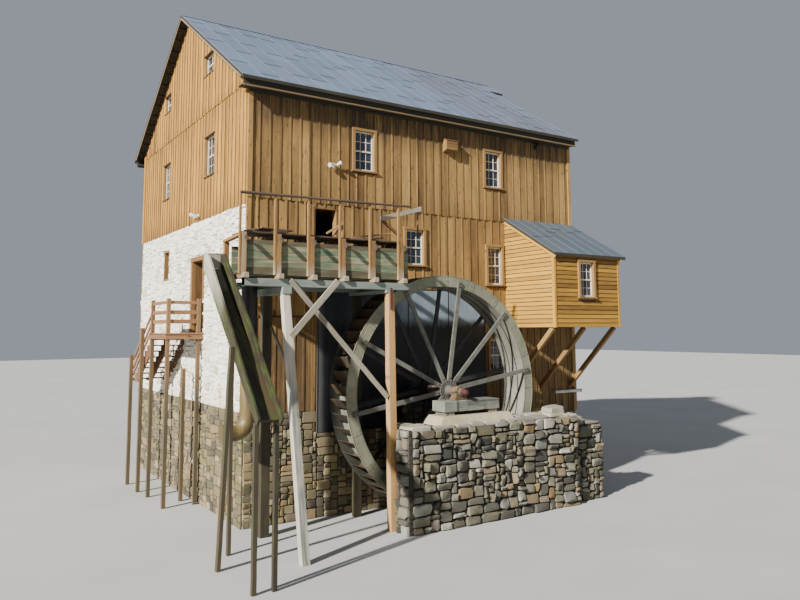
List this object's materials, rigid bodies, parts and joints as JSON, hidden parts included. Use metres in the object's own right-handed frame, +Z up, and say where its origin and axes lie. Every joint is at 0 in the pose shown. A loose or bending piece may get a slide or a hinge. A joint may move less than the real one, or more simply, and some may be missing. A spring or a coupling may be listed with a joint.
{
  "type": "overshot watermill house",
  "caption": "Timber mill house on a stone storey with an overshot water wheel, plank flume on trestles, spill chute, braced bay and outside stair.",
  "frame": {"origin": "centre of the whole part's box, on the base plane that its footings, legs and piers stand on", "axes": "+X along the eaves towards the bay, +Y from the wheel side into the house, +Z up"},
  "size_m": [14.582, 16.06, 15.6],
  "materials": {
    "stone_white": "limewashed rubble masonry",
    "rubble_stone": "rough rubble masonry",
    "siding_front": "stained vertical boards and battens",
    "siding_gable": "sunlit stained vertical boards and battens",
    "roof_metal": "standing-seam sheet, dull blue-grey",
    "trim_wood": "stained trim boards",
    "window_paint": "white painted sash",
    "window_glass": "window glass",
    "floor_wood": "plank floor",
    "bay_siding": "stained clapboards",
    "door_wood": "vertical plank door",
    "deck_wood": "red-brown sawn timber",
    "flume_wood": "weathered planks with green stain",
    "weathered_wood": "silver-grey weathered timber",
    "post_wood": "newer orange-brown timber",
    "pipe_iron": "black pipe",
    "mossy_wood": "wet mossy planks",
    "wheel_steel": "dull grey-green weathered steel plate",
    "hub_iron": "rusted cast iron",
    "concrete": "cast concrete",
    "splash_metal": "sheet metal",
    "lamp_paint": "painted lamp housings"
  },
  "bodies": {
    "house": {"foundation_walls": "rubble_stone", "stone_gable_wall": "stone_white", "front_wall_lower": "siding_front", "front_wall_middle": "siding_front", "front_wall_upper": "siding_front", "back_wall": "siding_front", "right_gable_wall": "siding_front", "left_gable_wall": "siding_gable", "storey_floors": "floor_wood", "roof_front_slope": "roof_metal", "roof_back_slope": "roof_metal", "roof_hood": "roof_metal", "eaves_and_rakes": "trim_wood", "front_window_frames": "window_paint", "front_window_panes": "window_glass", "gable_window_frames": "window_paint", "gable_window_panes": "window_glass", "back_window_frames": "window_paint", "back_window_panes": "window_glass", "bay_walls": "bay_siding", "bay_frame": "trim_wood", "bay_roof": "roof_metal", "entrance_frame": "trim_wood", "landing_deck": "deck_wood", "landing_posts": "deck_wood", "landing_rails": "deck_wood", "stair_treads": "deck_wood", "stair_stringers": "deck_wood", "flume_trough": "flume_wood", "flume_yokes": "post_wood", "flume_beams": "weathered_wood", "flume_walkway": "flume_wood", "flume_handrail": "flume_wood", "gate_lever": "weathered_wood", "trestle_legs": "post_wood", "trestle_braces": "weathered_wood", "riser_pipe": "pipe_iron", "spill_chute": "mossy_wood", "chute_legs": "mossy_wood", "bearing_sill": "weathered_wood", "bearing_plinth": "concrete", "rear_bearing": "rubble_stone", "wheel_pit_wall": "rubble_stone", "splash_panel": "splash_metal", "wall_fittings": "lamp_paint"},
    "wheel": {"wheel_rings": "wheel_steel", "wheel_sole": "wheel_steel", "wheel_buckets": "wheel_steel", "wheel_spokes": "wheel_steel", "wheel_hub": "hub_iron"},
    "door": {"entrance_door": "door_wood"}
  },
  "joints": [
    {"name": "wheel_spin", "type": "hinge", "parent": "house", "child": "wheel", "pos_m": [-0.411, -4.57, 3.35], "axis": [0, 1, 0], "continuous": true},
    {"name": "door_swing", "type": "hinge", "parent": "house", "child": "door", "pos_m": [-5.277, 1.38, 5.25], "axis": [0, 0, 1], "range_deg": [0, 90]}
  ]
}
